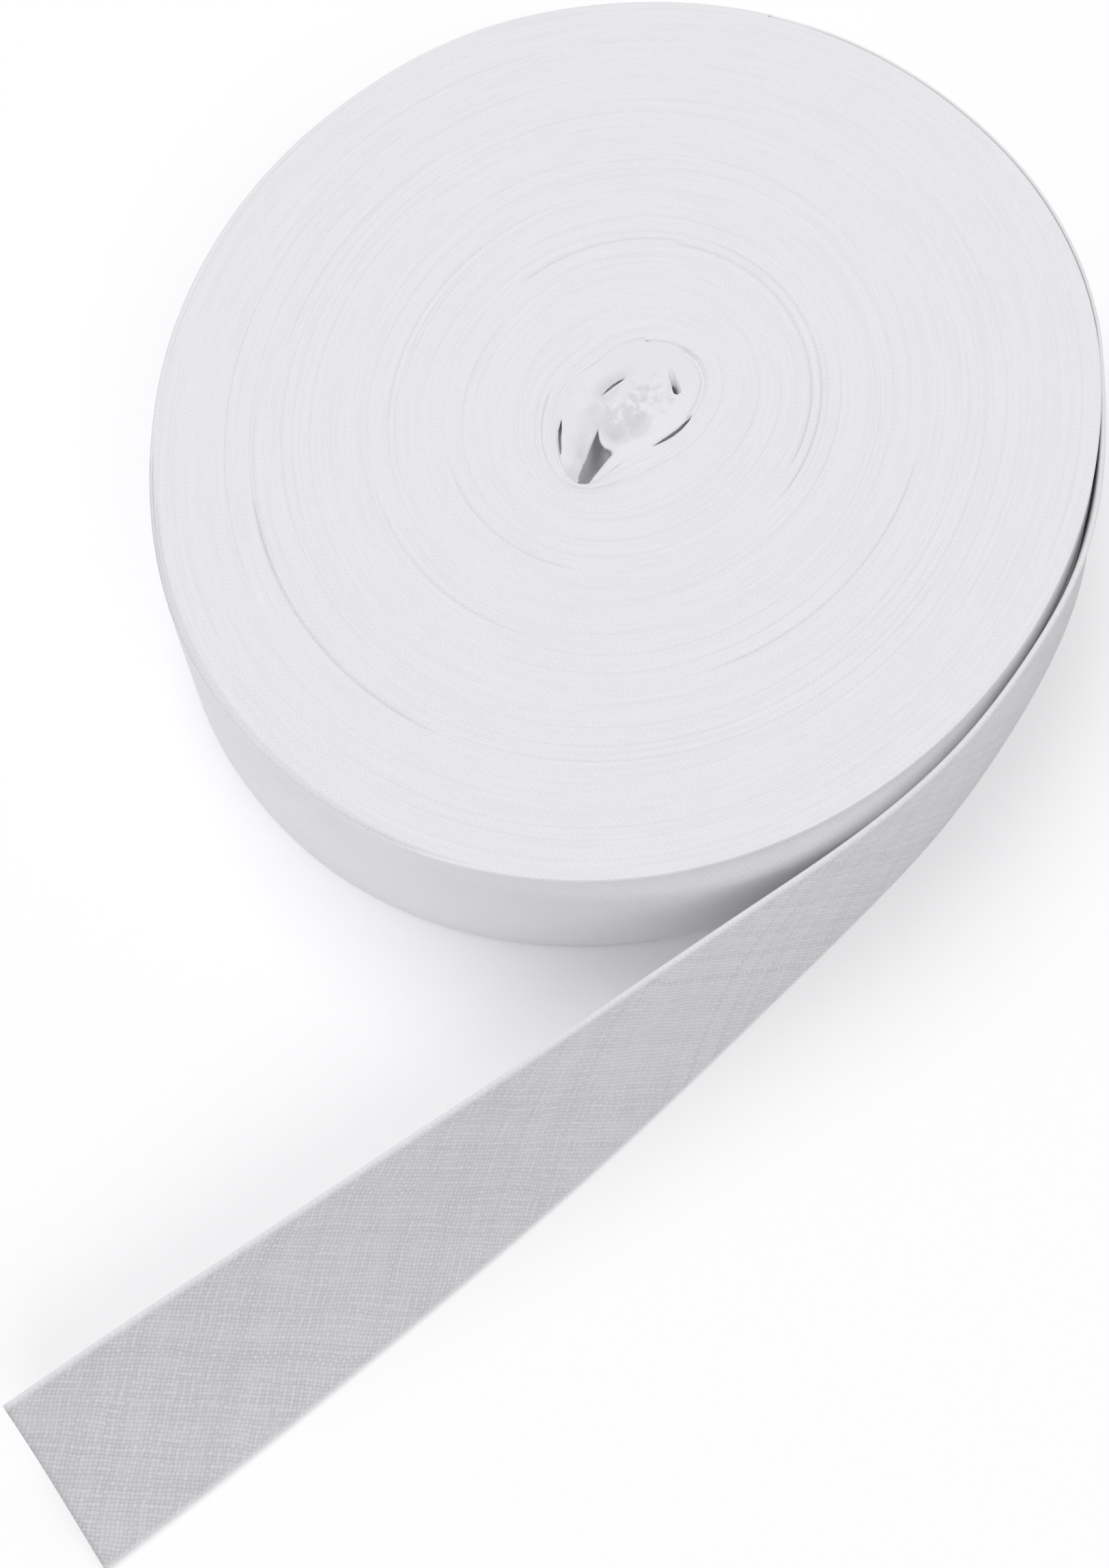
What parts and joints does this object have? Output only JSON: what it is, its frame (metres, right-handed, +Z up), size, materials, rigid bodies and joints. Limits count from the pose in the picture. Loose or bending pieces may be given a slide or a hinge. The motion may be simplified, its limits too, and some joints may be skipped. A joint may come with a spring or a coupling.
{
  "type": "roll of bias tape",
  "caption": "Coreless roll of folded cotton bias tape lying on its side, with the crumpled inner end in its eye and the outer end unwound to a straight cut.",
  "frame": {"origin": "on the surface that the roll lies on, under the middle of the roll", "axes": "+Z up through the roll's flat face; the loose end runs off towards -X and -Y"},
  "size_m": [0.1114, 0.1859, 0.0204],
  "materials": {
    "wound_cotton": "white plain-weave cotton, seen on the folded edges of the turns",
    "loose_cotton": "white plain-weave cotton cut on the bias, pressed flat"
  },
  "bodies": {
    "root": {"roll": "wound_cotton", "loose_end": "loose_cotton"}
  },
  "joints": []
}
